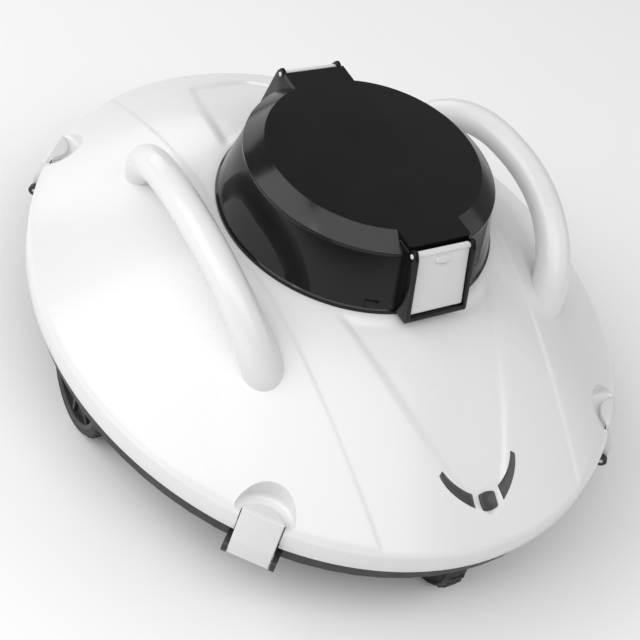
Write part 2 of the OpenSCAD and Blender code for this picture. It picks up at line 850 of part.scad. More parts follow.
module charging_cap() {
  color(rubber) translate([socket_x, socket_y, 0]) {
    translate([0, 0, clearance - 2.6]) cylinder(r = 9.8, h = 2.3, $fn = fine);
    translate([0, 0, clearance - 0.4]) cylinder(r = 7, h = 2.4, $fn = fine);
    box([6, cap_hinge_u], [-4, 4], [clearance - 2.6, clearance - 0.4]);
    translate([cap_hinge_u, 4, cap_hinge_z]) rotate([90, 0, 0]) cylinder(r = 1.25, h = 8, $fn = fine);
    translate([cap_hinge_u, 7.3, cap_hinge_z]) rotate([90, 0, 0]) cylinder(r = 0.9, h = 14.6, $fn = fine);
  }
}

module case_screws() {
  color(steel) {
    for (x = [-136.5, -91.5], y = [-68, 68]) translate([x, y, 92.6]) cylinder(r = 2.4, h = 1.6, $fn = 24);
    for (x = [87.5, 134.5], y = [-56, 56]) translate([x, y, 70.6]) cylinder(r = 2.4, h = 1.6, $fn = 24);
  }
}

top_cover();
handle_left();
handle_right();
handle_screws();
status_window_left();
status_window_mid();
status_window_right();
drum_body();
drum_lid();
drum_seal();
drum_screws();
flap_front();
flap_rear();
latch_front_left();
latch_front_right();
latch_rear_left();
latch_rear_right();
latch_pins();
base_pan();
wheel_left();
wheel_right();
tyre_left();
tyre_right();
wheel_front();
wheel_rear();
side_axles();
axle_screws();
roller_axles();
filter_tray();
filter_mesh();
filter_lid();
suction_duct();
inlet_flap_front();
inlet_flap_rear();
inlet_lips();
duct_front();
duct_rear();
motor_capsule();
capsule_cap_front();
capsule_cap_rear();
capsule_gaskets();
motor_front();
motor_rear();
shaft_front();
shaft_rear();
shaft_seals();
impeller_front();
impeller_rear();
battery_case();
battery_lid();
battery_cells();
control_case();
control_lid();
circuit_board();
light_board();
power_button();
charging_socket();
charging_cap();
case_screws();
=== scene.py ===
import json
import math

import bmesh
import bpy
import numpy as np
from mathutils import Matrix, Vector


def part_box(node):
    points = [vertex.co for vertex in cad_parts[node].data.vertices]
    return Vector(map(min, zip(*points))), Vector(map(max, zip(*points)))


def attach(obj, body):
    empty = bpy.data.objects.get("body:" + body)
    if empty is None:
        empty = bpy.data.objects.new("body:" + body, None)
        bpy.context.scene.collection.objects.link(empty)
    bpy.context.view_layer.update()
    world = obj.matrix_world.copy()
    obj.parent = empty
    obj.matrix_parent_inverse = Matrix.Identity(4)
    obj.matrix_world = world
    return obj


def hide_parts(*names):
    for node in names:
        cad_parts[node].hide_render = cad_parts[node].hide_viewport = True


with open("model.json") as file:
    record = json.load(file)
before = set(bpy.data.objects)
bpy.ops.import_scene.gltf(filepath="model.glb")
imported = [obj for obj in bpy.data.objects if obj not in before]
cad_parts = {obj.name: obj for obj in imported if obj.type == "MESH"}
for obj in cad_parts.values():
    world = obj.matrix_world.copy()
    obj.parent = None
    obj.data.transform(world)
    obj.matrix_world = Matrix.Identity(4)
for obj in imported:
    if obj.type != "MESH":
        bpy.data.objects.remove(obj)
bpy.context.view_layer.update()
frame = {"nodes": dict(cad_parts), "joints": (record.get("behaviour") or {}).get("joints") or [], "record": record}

MM = 0.001
JOINTS = {j["name"]: j for j in frame["joints"]}


def extent(node):
    """Lowest and highest corner of a CAD node, in millimetres."""
    low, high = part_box(node)
    return np.array(low) / MM, np.array(high) / MM


def pivot(joint):
    """A joint's point, in millimetres."""
    return np.array(JOINTS[joint]["pos_m"]) / MM


# ---------- driving sizes, read from the frame ----------

cover_low, cover_high = extent("top_cover")
drum_low, drum_high = extent("drum_body")
lid_low, lid_high = extent("drum_lid")
RIM_X, RIM_Y = cover_high[0], cover_high[1]
SKIRT_Z, LAND_Z = cover_low[2], cover_high[2]
CREASE_Z = SKIRT_Z + 14.6
DRUM_Y = (drum_low[1] + drum_high[1]) / 2
LID_Z = lid_high[2]
LID_R = (lid_high[0] - lid_low[0]) / 2
LAND_R = 88.0
WALL = 3.2


# ---------- mesh helpers ----------

def smooth_mesh(mesh, angle):
    """Smooth shading, kept sharp where two faces meet at more than angle degrees."""
    mesh.shade_smooth()
    mesh.set_sharp_from_angle(angle=math.radians(angle))


def build(name, points, faces, material, angle=35, matrix=None):
    """A closed mesh object from points in millimetres, with its faces turned outwards."""
    points = np.asarray(points, float)
    if matrix is not None:
        points = points @ matrix[:3, :3].T + matrix[:3, 3]
    mesh = bpy.data.meshes.new(name)
    mesh.from_pydata((points * MM).tolist(), [], faces)
    work = bmesh.new()
    work.from_mesh(mesh)
    bmesh.ops.recalc_face_normals(work, faces=work.faces)
    work.to_mesh(mesh)
    work.free()
    smooth_mesh(mesh, angle)
    if material is not None:
        mesh.materials.append(material)
    obj = bpy.data.objects.new(name, mesh)
    bpy.context.scene.collection.objects.link(obj)
    return obj


def loft_faces(rings, count, closed_ends=True, loop=False):
    """Quads between stacked rings of count points; loop joins the last ring to the first."""
    faces = []
    last = rings if loop else rings - 1
    for i in range(last):
        a, b = i * count, ((i + 1) % rings) * count
        for j in range(count):
            k = (j + 1) % count
            faces.append((a + j, a + k, b + k, b + j))
    if closed_ends and not loop:
        faces.append(tuple(range(count))[::-1])
        faces.append(tuple((rings - 1) * count + j for j in range(count)))
    return faces


def rounded(corners, radius, steps=5):
    """The outline with each corner replaced by an arc; radius is one number or one for each corner."""
    corners = [np.array(c, float) for c in corners]
    radii = radius if isinstance(radius, (list, tuple)) else [radius] * len(corners)
    outline = []
    for i, (corner, r) in enumerate(zip(corners, radii)):
        if r <= 0:
            outline.append(corner)
            continue
        to_last = corners[i - 1] - corner
        to_next = corners[(i + 1) % len(corners)] - corner
        u, v = to_last / np.linalg.norm(to_last), to_next / np.linalg.norm(to_next)
        half = math.acos(float(np.clip(u @ v, -1, 1))) / 2
        centre = corner + (u + v) / np.linalg.norm(u + v) * (r / math.sin(half))
        start, stop = corner + u * (r / math.tan(half)) - centre, corner + v * (r / math.tan(half)) - centre
        a0 = math.atan2(start[1], start[0])
        turn = (math.atan2(stop[1], stop[0]) - a0 + math.pi) % (2 * math.pi) - math.pi
        for s in range(steps + 1):
            a = a0 + turn * s / steps
            outline.append(centre + r * np.array([math.cos(a), math.sin(a)]))
    return np.array(outline)


def offset_outline(outline, inset):
    """The outline moved inwards by inset, for an outline that runs counterclockwise."""
    along = np.roll(outline, -1, 0) - np.roll(outline, 1, 0)
    along /= np.linalg.norm(along, axis=1)[:, None]
    return outline + inset * np.stack([-along[:, 1], along[:, 0]], 1)


def counterclockwise(outline):
    """The outline, turned to run anticlockwise."""
    outline = np.asarray(outline, float)
    nxt = np.roll(outline, -1, 0)
    area = (outline[:, 0] * nxt[:, 1] - nxt[:, 0] * outline[:, 1]).sum()
    return outline if area > 0 else outline[::-1]


def slab(name, outline, low, high, edge, material, matrix=None, steps=3):
    """A plate of that outline between two heights, with its rims rounded by edge."""
    outline = counterclockwise(outline)
    rings = []
    turns = [math.pi / 2 * s / steps for s in range(steps + 1)]
    for z0, way, order in ((low, 1, turns), (high, -1, turns[::-1])):
        for a in order:
            flat = offset_outline(outline, edge * (1 - math.sin(a)))
            height = np.full((len(flat), 1), z0 + way * edge * (1 - math.cos(a)))
            rings.append(np.hstack([flat, height]))
    points = np.vstack(rings)
    return build(name, points, loft_faces(len(rings), len(outline)), material, 40, matrix)


def revolve(name, profile, centre, material, segments=192, angle=30, matrix=None):
    """A closed (radius, height) profile turned round a vertical axis through centre."""
    profile = np.asarray(profile, float)
    turns = np.linspace(0, 2 * math.pi, segments, endpoint=False)
    points = np.array([[centre[0] + r * math.cos(a), centre[1] + r * math.sin(a), z]
                       for r, z in profile for a in turns])
    faces = loft_faces(len(profile), segments, loop=True)
    return build(name, points, faces, material, angle, matrix)


def turned_solid(name, profile, centre, material, segments=192, angle=30):
    """A solid turned from a (radius, height) profile that runs from its lower flat to its upper flat."""
    turns = np.linspace(0, 2 * math.pi, segments, endpoint=False)
    points = np.array([[centre[0] + r * math.cos(a), centre[1] + r * math.sin(a), z]
                       for r, z in profile for a in turns])
    return build(name, points, loft_faces(len(profile), segments), material, angle)


def sweep(name, path, radii, material, sides=40, lean=(0.0, 0.0, 1.0)):
    """A round bar along path, with a radius for each of its points."""
    path = np.asarray(path, float)
    along = np.gradient(path, axis=0)
    along /= np.linalg.norm(along, axis=1)[:, None]
    lean = np.asarray(lean, float)
    out = lean - along * (along @ lean)[:, None]
    out /= np.linalg.norm(out, axis=1)[:, None]
    up = np.cross(along, out)
    turns = np.linspace(0, 2 * math.pi, sides, endpoint=False)
    rings = [path + radii[:, None] * (math.cos(a) * out + math.sin(a) * up) for a in turns]
    points = np.stack(rings, 1).reshape(-1, 3)
    return build(name, points, loft_faces(len(path), sides), material, 50)


def join(name, objects):
    """One mesh object out of several, each still closed."""
    bpy.context.view_layer.update()
    work = bmesh.new()
    for obj in objects:
        work.from_mesh(obj.data)
    mesh = bpy.data.meshes.new(name)
    work.to_mesh(mesh)
    work.free()
    for material in objects[0].data.materials:
        mesh.materials.append(material)
    for obj in objects:
        bpy.data.objects.remove(obj)
    smooth_mesh(mesh, 35)
    result = bpy.data.objects.new(name, mesh)
    bpy.context.scene.collection.objects.link(result)
    return result


def finished(obj, name=None, angle=35):
    """The object with its modifiers applied, as a plain mesh."""
    bpy.context.view_layer.update()
    graph = bpy.context.evaluated_depsgraph_get()
    mesh = bpy.data.meshes.new_from_object(obj.evaluated_get(graph))
    name = name or obj.name
    bpy.data.objects.remove(obj)
    mesh.name = name
    smooth_mesh(mesh, angle)
    result = bpy.data.objects.new(name, mesh)
    bpy.context.scene.collection.objects.link(result)
    return result


def combine(obj, tool, operation, angle=35):
    """obj with tool cut out of it or joined to it; tool is used up."""
    change = obj.modifiers.new("combine", "BOOLEAN")
    change.operation = operation
    change.solver = "EXACT"
    change.object = tool
    name = obj.name
    obj.name = name + "_raw"
    result = finished(obj, name, angle)
    bpy.data.objects.remove(tool)
    return result


def carve(obj, tool, angle=35):
    """obj with tool cut away."""
    return combine(obj, tool, "DIFFERENCE", angle)


def block(x, y, z, matrix=None, name="block"):
    outline = [(x[0], y[0]), (x[1], y[0]), (x[1], y[1]), (x[0], y[1])]
    points = [(px, py, pz) for pz in z for px, py in outline]
    return build(name, points, loft_faces(2, 4), None, 30, matrix)


def bar(name, radius, start, stop, axis, through, material, sides=32, edge=0.25):
    """A round pin from start to stop along a row axis (0 is X, 1 is Y, 2 is Z) through a point."""
    turns = np.linspace(0, 2 * math.pi, sides, endpoint=False)
    outline = np.stack([radius * np.cos(turns), radius * np.sin(turns)], 1)
    order = {0: (1, 2, 0), 1: (2, 0, 1), 2: (0, 1, 2)}[axis]
    matrix = np.eye(4)
    matrix[:3, :3] = 0
    for local, world in enumerate(order):
        matrix[world, local] = 1
    matrix[:3, 3] = [0 if i == axis else through[i] for i in range(3)]
    return slab(name, outline, start, stop, edge, material, matrix, steps=2)


def frame_matrix(origin, x_axis, y_axis, z_axis):
    matrix = np.eye(4)
    matrix[:3, 0], matrix[:3, 1], matrix[:3, 2], matrix[:3, 3] = x_axis, y_axis, z_axis, origin
    return matrix


def smoothed_copy(node, name, material, angle=28):
    """The CAD node's own shape with its facets welded and its curves smooth."""
    mesh = frame["nodes"][node].data.copy()
    work = bmesh.new()
    work.from_mesh(mesh)
    bmesh.ops.remove_doubles(work, verts=work.verts, dist=1e-6)
    bmesh.ops.dissolve_degenerate(work, edges=work.edges, dist=1e-7)
    work.to_mesh(mesh)
    work.free()
    mesh.name = name
    mesh.materials.clear()
    mesh.materials.append(material)
    if mesh.has_custom_normals:
        mesh.attributes.remove(mesh.attributes["custom_normal"])
    smooth_mesh(mesh, angle)
    obj = bpy.data.objects.new(name, mesh)
    bpy.context.scene.collection.objects.link(obj)
    return obj


def settle(obj, body, slot, *nodes):
    """Gives a finished piece its body and hides the CAD nodes it stands for; slot is not used."""
    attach(obj, body)
    if nodes:
        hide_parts(*nodes)


# ---------- materials ----------

def material_nodes(name):
    material = bpy.data.materials.new(name)
    material.use_nodes = True
    tree = material.node_tree
    shader = tree.nodes["Principled BSDF"]
    place = tree.nodes.new("ShaderNodeTexCoord").outputs["Object"]
    return material, tree, shader, place


def noise(tree, place, scale, detail=3.0, stretch=None):
    """A noise pattern of about 1 / scale metres, stretched along an axis if asked."""
    if stretch is not None:
        mapping = tree.nodes.new("ShaderNodeMapping")
        mapping.inputs["Scale"].default_value = stretch
        tree.links.new(place, mapping.inputs["Vector"])
        place = mapping.outputs["Vector"]
    node = tree.nodes.new("ShaderNodeTexNoise")
    node.inputs["Scale"].default_value = scale
    node.inputs["Detail"].default_value = detail
    tree.links.new(place, node.inputs["Vector"])
    return node.outputs["Fac"]


def spread(tree, value, low, high):
    """The pattern's middle range turned into low to high."""
    node = tree.nodes.new("ShaderNodeMapRange")
    node.inputs["From Min"].default_value = 0.3
    node.inputs["From Max"].default_value = 0.7
    node.inputs["To Min"].default_value = low
    node.inputs["To Max"].default_value = high
    tree.links.new(value, node.inputs["Value"])
    return node.outputs["Result"]


def tint(tree, value, dark, light):
    """A colour between dark and light, led by the pattern."""
    node = tree.nodes.new("ShaderNodeValToRGB")
    node.color_ramp.elements[0].position = 0.3
    node.color_ramp.elements[1].position = 0.7
    node.color_ramp.elements[0].color = (*dark, 1)
    node.color_ramp.elements[1].color = (*light, 1)
    tree.links.new(value, node.inputs["Fac"])
    return node.outputs["Color"]


def bump(tree, height, distance, strength=1.0, under=None):
    node = tree.nodes.new("ShaderNodeBump")
    node.inputs["Strength"].default_value = strength
    node.inputs["Distance"].default_value = distance
    tree.links.new(height, node.inputs["Height"])
    if under is not None:
        tree.links.new(under, node.inputs["Normal"])
    return node.outputs["Normal"]


def moulding(name, dark, light, rough, cloud=14, grain=900, grain_depth=0.00001, ripple=70,
             ripple_depth=0.00004, coat=0.0, coat_rough=0.04, metallic=0.0, ior=1.5, stretch=None,
             detail=3.0):
    """A moulded or drawn finish: clouded tone, uneven gloss, fine grain and a slow ripple."""
    material, tree, shader, place = material_nodes(name)
    tree.links.new(tint(tree, noise(tree, place, cloud, detail), dark, light), shader.inputs["Base Color"])
    tree.links.new(spread(tree, noise(tree, place, cloud * 5, detail), *rough), shader.inputs["Roughness"])
    slow = bump(tree, noise(tree, place, ripple, 2), ripple_depth, 0.6)
    fine = bump(tree, noise(tree, place, grain, 4, stretch), grain_depth, 0.8, slow)
    tree.links.new(fine, shader.inputs["Normal"])
    shader.inputs["Metallic"].default_value = metallic
    shader.inputs["IOR"].default_value = ior
    if coat > 0:
        shader.inputs["Coat Weight"].default_value = coat
        shader.inputs["Coat Roughness"].default_value = coat_rough
        tree.links.new(slow, shader.inputs["Coat Normal"])
    return material


def shell_white():
    """High-gloss white moulding with a trace of orange peel."""
    return moulding("shell_white", (0.765, 0.766, 0.771), (0.770, 0.771, 0.776), (0.27, 0.29),
                    cloud=5, grain=1400, grain_depth=0.0000004, ripple=20, ripple_depth=0.000001,
                    coat=0.2, coat_rough=0.16, detail=0.0)


def flap_white():
    """Softer white of the small clipped-on parts."""
    return moulding("flap_white", (0.70, 0.70, 0.712), (0.71, 0.71, 0.722), (0.32, 0.36),
                    cloud=40, grain=2200, grain_depth=0.000001, ripple=60, ripple_depth=0.000001, detail=0.0)


def drum_gloss():
    """Polished black with faint polishing haze."""
    return moulding("drum_gloss", (0.004, 0.004, 0.0044), (0.006, 0.006, 0.0064), (0.06, 0.10),
                    cloud=20, grain=1800, grain_depth=0.000001, ripple=35, ripple_depth=0.000006, ior=1.38)


def lid_satin():
    """Slightly softer black of the lid."""
    return moulding("lid_satin", (0.0055, 0.0055, 0.0057), (0.0075, 0.0075, 0.0078), (0.14, 0.18),
                    cloud=26, grain=2600, grain_depth=0.000001, ripple=50, ripple_depth=0.000003, ior=1.4)


def pan_black():
    """Spark-eroded satin black."""
    return moulding("pan_black", (0.022, 0.022, 0.023), (0.034, 0.034, 0.036), (0.38, 0.55),
                    cloud=30, grain=1300, grain_depth=0.00003, ripple=90, ripple_depth=0.00003)


def inner_black():
    return moulding("inner_black", (0.018, 0.018, 0.019), (0.03, 0.03, 0.032), (0.42, 0.6),
                    cloud=50, grain=900, grain_depth=0.00002)


def wheel_black():
    return moulding("wheel_black", (0.02, 0.02, 0.021), (0.035, 0.035, 0.037), (0.34, 0.48),
                    cloud=60, grain=1600, grain_depth=0.00002)


def tread_rubber():
    """Matt rubber, dusty where it has rolled."""
    return moulding("tread_rubber", (0.022, 0.022, 0.022), (0.055, 0.055, 0.054), (0.62, 0.85),
                    cloud=120, grain=2000, grain_depth=0.00005, ripple=300, ripple_depth=0.00003)


def seal_rubber():
    return moulding("seal_rubber", (0.018, 0.018, 0.018), (0.03, 0.03, 0.03), (0.5, 0.7),
                    cloud=150, grain=2400, grain_depth=0.00002)


def smoked_lens():
    """Smoked clear plastic over a dark mask, with a fine diagonal texture behind it."""
    material, tree, shader, place = material_nodes("smoked_lens")
    mapping = tree.nodes.new("ShaderNodeMapping")
    mapping.inputs["Rotation"].default_value = (0.0, 0.0, math.radians(35))
    tree.links.new(place, mapping.inputs["Vector"])
    wave = tree.nodes.new("ShaderNodeTexWave")
    wave.inputs["Scale"].default_value = 700
    wave.inputs["Distortion"].default_value = 0.6
    tree.links.new(mapping.outputs["Vector"], wave.inputs["Vector"])
    tone = tint(tree, wave.outputs["Fac"], (0.045, 0.046, 0.048), (0.07, 0.071, 0.074))
    tree.links.new(tone, shader.inputs["Base Color"])
    tree.links.new(spread(tree, noise(tree, place, 200), 0.10, 0.2), shader.inputs["Roughness"])
    tree.links.new(bump(tree, wave.outputs["Fac"], 0.00001, 0.4), shader.inputs["Normal"])
    shader.inputs["Coat Weight"].default_value = 0.1
    shader.inputs["Coat Roughness"].default_value = 0.05
    return material


def stainless():
    """Turned stainless steel with fine lines."""
    return moulding("stainless", (0.50, 0.51, 0.53), (0.64, 0.65, 0.67), (0.22, 0.38), cloud=90,
                    grain=500, grain_depth=0.00001, ripple=200, metallic=1.0, stretch=(1.0, 1.0, 14.0))


def motor_steel():
    return moulding("motor_steel", (0.42, 0.43, 0.45), (0.55, 0.56, 0.58), (0.3, 0.45), cloud=70,
                    grain=400, grain_depth=0.00001, metallic=1.0, stretch=(1.0, 12.0, 1.0))


def gasket_red():
    return moulding("gasket_red", (0.20, 0.03, 0.025), (0.30, 0.05, 0.04), (0.5, 0.7), cloud=200)


def screen_grey():
    return moulding("screen_grey", (0.50, 0.51, 0.52), (0.62, 0.63, 0.64), (0.45, 0.6), cloud=300,
                    grain=3000, grain_depth=0.00003)


def impeller_grey():
    return moulding("impeller_grey", (0.08, 0.083, 0.086), (0.12, 0.123, 0.126), (0.35, 0.5), cloud=120)


def case_grey():
    return moulding("case_grey", (0.025, 0.025, 0.027), (0.045, 0.045, 0.048), (0.45, 0.6), cloud=50)


def cell_sleeve():
    return moulding("cell_sleeve", (0.02, 0.09, 0.20), (0.03, 0.12, 0.26), (0.18, 0.3), cloud=80, coat=0.3)


def board_mask():
    """Green solder mask over copper tracks."""
    material, tree, shader, place = material_nodes("board_mask")
    brick = tree.nodes.new("ShaderNodeTexBrick")
    brick.inputs["Scale"].default_value = 120
    brick.inputs["Color1"].default_value = (0.010, 0.085, 0.035, 1)
    brick.inputs["Color2"].default_value = (0.014, 0.105, 0.045, 1)
    brick.inputs["Mortar"].default_value = (0.03, 0.16, 0.07, 1)
    tree.links.new(place, brick.inputs["Vector"])
    tree.links.new(brick.outputs["Color"], shader.inputs["Base Color"])
    tree.links.new(spread(tree, noise(tree, place, 160), 0.25, 0.4), shader.inputs["Roughness"])
    tree.links.new(bump(tree, brick.outputs["Fac"], 0.00003, 0.6), shader.inputs["Normal"])
    return material


def studio_floor():
    return moulding("studio_floor", (0.93, 0.93, 0.93), (0.94, 0.94, 0.94), (0.75, 0.85), cloud=2,
                    grain=40, grain_depth=0.000005)


FINISHES = {
    "cover_white": shell_white(), "drum_black": drum_gloss(), "base_black": pan_black(),
    "inner_black": inner_black(), "wheel_black": wheel_black(), "tyre_rubber": tread_rubber(),
    "smoked_lens": smoked_lens(), "stainless": stainless(), "seal_rubber": seal_rubber(),
    "gasket_red": gasket_red(), "mesh_grey": screen_grey(), "motor_can": motor_steel(),
    "impeller_grey": impeller_grey(), "case_grey": case_grey(), "cell_wrap": cell_sleeve(),
    "board_green": board_mask(), "socket_plastic": case_grey(),
}
WHITE = FINISHES["cover_white"]
SOFT_WHITE = flap_white()
BLACK = FINISHES["drum_black"]
LID_BLACK = lid_satin()


def finish_cad_nodes():
    """Every CAD node that stays in view takes its slot's finish."""
    for entry in frame["record"]["subparts"]:
        obj = frame["nodes"][entry["node"]]
        finish = FINISHES[entry["material_slot"]]
        obj.data.materials.clear()
        obj.data.materials.append(finish)


# ---------- repeats ----------

def ring_tree():
    """Geometry nodes that set copies of a part round a circle in the XY plane, turned to face outwards."""
    tree = bpy.data.node_groups.new("ring_of_parts", "GeometryNodeTree")
    face = tree.interface
    face.new_socket("Geometry", in_out="INPUT", socket_type="NodeSocketGeometry")
    sockets = {"Part": "Object", "Count": "Int", "Radius": "Float", "Start": "Float", "Finish": "Material"}
    for socket, kind in sockets.items():
        face.new_socket(socket, in_out="INPUT", socket_type="NodeSocket" + kind)
    face.new_socket("Geometry", in_out="OUTPUT", socket_type="NodeSocketGeometry")
    new, link = tree.nodes.new, tree.links.new
    given, result = new("NodeGroupInput"), new("NodeGroupOutput")

    def maths(operation, a, b=None):
        node = new("ShaderNodeMath")
        node.operation = operation
        for slot_index, value in enumerate((a, b)):
            if value is None:
                continue
            if isinstance(value, (int, float)):
                node.inputs[slot_index].default_value = value
            else:
                link(value, node.inputs[slot_index])
        return node.outputs[0]

    index = new("GeometryNodeInputIndex").outputs[0]
    step = maths("DIVIDE", 2 * math.pi, given.outputs["Count"])
    angle = maths("ADD", maths("MULTIPLY", index, step), given.outputs["Start"])
    place, turn = new("ShaderNodeCombineXYZ"), new("ShaderNodeCombineXYZ")
    link(maths("MULTIPLY", maths("COSINE", angle), given.outputs["Radius"]), place.inputs["X"])
    link(maths("MULTIPLY", maths("SINE", angle), given.outputs["Radius"]), place.inputs["Y"])
    link(angle, turn.inputs["Z"])
    points = new("GeometryNodePoints")
    link(given.outputs["Count"], points.inputs["Count"])
    link(place.outputs[0], points.inputs["Position"])
    part = new("GeometryNodeObjectInfo")
    link(given.outputs["Part"], part.inputs["Object"])
    copies = new("GeometryNodeInstanceOnPoints")
    link(points.outputs[0], copies.inputs["Points"])
    link(part.outputs["Geometry"], copies.inputs["Instance"])
    link(turn.outputs[0], copies.inputs["Rotation"])
    real, dressed = new("GeometryNodeRealizeInstances"), new("GeometryNodeSetMaterial")
    link(copies.outputs[0], real.inputs["Geometry"])
    link(real.outputs[0], dressed.inputs["Geometry"])
    link(given.outputs["Finish"], dressed.inputs["Material"])
    link(dressed.outputs[0], result.inputs["Geometry"])
    return tree


RING = ring_tree()


def ring_of(name, part, count, radius, finish, matrix, start=0.0):
    """Copies of part round a circle in millimetres about Z, which matrix carries to its place."""
    carrier = bpy.data.objects.new(name + "_carrier", bpy.data.meshes.new(name + "_carrier"))
    bpy.context.scene.collection.objects.link(carrier)
    change = carrier.modifiers.new("ring", "NODES")
    change.node_group = RING
    values = {"Part": part, "Count": count, "Radius": radius * MM, "Start": start, "Finish": finish}
    for item in RING.interface.items_tree:
        if item.in_out == "INPUT" and item.name in values:
            change[item.identifier] = values[item.name]
    result = finished(carrier, name, 35)
    bpy.data.objects.remove(part)
    place = Matrix(matrix.tolist())
    place.translation = place.translation * MM
    result.data.transform(place)
    if place.to_3x3().determinant() < 0:
        result.data.flip_normals()
    return result


# ---------- cover ----------

def ease(value):
    """Smooth step from 0 to 1."""
    value = np.clip(value, 0, 1)
    return value * value * (3 - 2 * value)


def mix(a, b, t):
    return a + (b - a) * t


DOME_POWER = 1.28


def dome_height(t):
    return LAND_Z - (LAND_Z - CREASE_Z) * t ** DOME_POWER


def dome_plan(a, t, inset=0.0):
    """Plan position at angle a on the oval that lies at fraction t between the drum land and the rim."""
    x = (mix(LAND_R, RIM_X, t) - inset) * np.cos(a)
    y = mix(DRUM_Y, 0, t) + (mix(LAND_R, RIM_Y, t) - inset) * np.sin(a)
    return x, y


NOSE_BAND_DEPTH = 1.8
TAIL_BAND_DEPTH = 2.3
BAND_EDGE = 7.0
PANEL_STEP = 0.8
PANEL_EDGE = 2.6


def nose_band(y):
    """Half width of the sunken band that narrows from the drum to the windows."""
    return 3.44 * np.clip(y + 200, 0.01, None) ** 0.577


def tail_band(y):
    return 4.54 * np.clip(198 - y, 0.01, None) ** 0.518


def panel_line(y):
    """How far the panel line stands from the middle: widest just ahead of the drum's centre."""
    behind = np.clip((y + 40) / 228.0, 0, None)
    ahead = np.clip(-28 - y, 0, None)
    return 84.4 - 17.5 * behind ** 1.9 - 0.09 * ahead


def dome_relief(x, y, t):
    """Height that the sunken bands and the raised side panels add to the plain dome."""
    side = np.abs(x)
    ahead = ease((nose_band(y) - side) / BAND_EDGE) * ease((-20 - y) / 30)
    behind = ease((tail_band(y) - side) / BAND_EDGE) * ease((y - 10) / 30) * ease((176 - y) / 9)
    relief = -NOSE_BAND_DEPTH * ahead - TAIL_BAND_DEPTH * behind
    relief = relief + PANEL_STEP * ease((side - panel_line(y)) / PANEL_EDGE)
    return relief * ease(t / 0.06) * ease((1.0 - t) / 0.035)


def latch_frame(name):
    """Axes at the rim point of a latch: out of the oval, along it and up."""
    along = np.array(JOINTS[name + "_hinge"]["axis"])
    out = np.array([along[1], -along[0], 0.0])
    rim = pivot(name + "_hinge") - 3.6 * out
    rim[2] = 0
    return frame_matrix(rim, out, along, np.array([0, 0, 1.0]))


LATCHES = [f"latch_{end}_{side}" for end in ("front", "rear") for side in ("left", "right")]
SCOOP_R = 18.5
LEDGE_Z = CREASE_Z + 1.4
POCKET_HALF = 13.3


def scoop_cutter(matrix):
    """The half-moon recess over a latch, with a round at its foot and a slight draft."""
    foot = 3.0
    rows = [(SCOOP_R - foot + foot * math.sin(a), LEDGE_Z + foot * (1 - math.cos(a)))
            for a in np.linspace(0, math.pi / 2, 6)]
    rows += [(SCOOP_R + 0.3, LEDGE_Z + 10), (SCOOP_R + 0.6, LEDGE_Z + 40)]
    turns = np.linspace(0, 2 * math.pi, 96, endpoint=False)
    points = [(r * math.cos(a), r * math.sin(a), z) for r, z in rows for a in turns]
    return build("scoop", points, loft_faces(len(rows), 96), None, 30, matrix)


WINDOW_Y, WINDOW_TILT, WINDOW_ROLL = -186.0, 32.6, 4.0


def window_matrix(side):
    """Plane of a window: sloped like the dome's nose, and the wings fall away a little to the side."""
    lift = 99.4 + 0.45 * abs(side)
    tilt = Matrix.Rotation(math.radians(WINDOW_TILT), 4, "X")
    roll = Matrix.Rotation(math.radians(WINDOW_ROLL * side), 4, "Y")
    matrix = np.array(roll @ tilt)
    matrix[:3, 3] = (0, WINDOW_Y, lift)
    return matrix


def window_outline(side, grow=0.0):
    """Outline of a window in its own plane: a rounded middle pane between two curved wings."""
    if side == 0:
        outline = rounded([(-5.0, -3.4), (0, -2.6), (5.0, -3.4), (5.2, -12.4), (0, -13.5), (-5.2, -12.4)],
                          [1.0, 6.0, 1.0, 1.6, 6.0, 1.6], 4)
    else:
        outer = [mix(mix(np.array([26.0, 14.0]), np.array([24.3, 2.1]), s),
                     mix(np.array([24.3, 2.1]), np.array([10.4, -9.6]), s), s) for s in np.linspace(0, 1, 12)]
        inner = [mix(mix(np.array([9.8, -1.4]), np.array([19.6, 5.0]), s),
                     mix(np.array([19.6, 5.0]), np.array([23.6, 16.0]), s), s) for s in np.linspace(0, 1, 12)]
        outline = np.array(outer + inner) * (side, 1)
    return offset_outline(counterclockwise(outline), -grow)


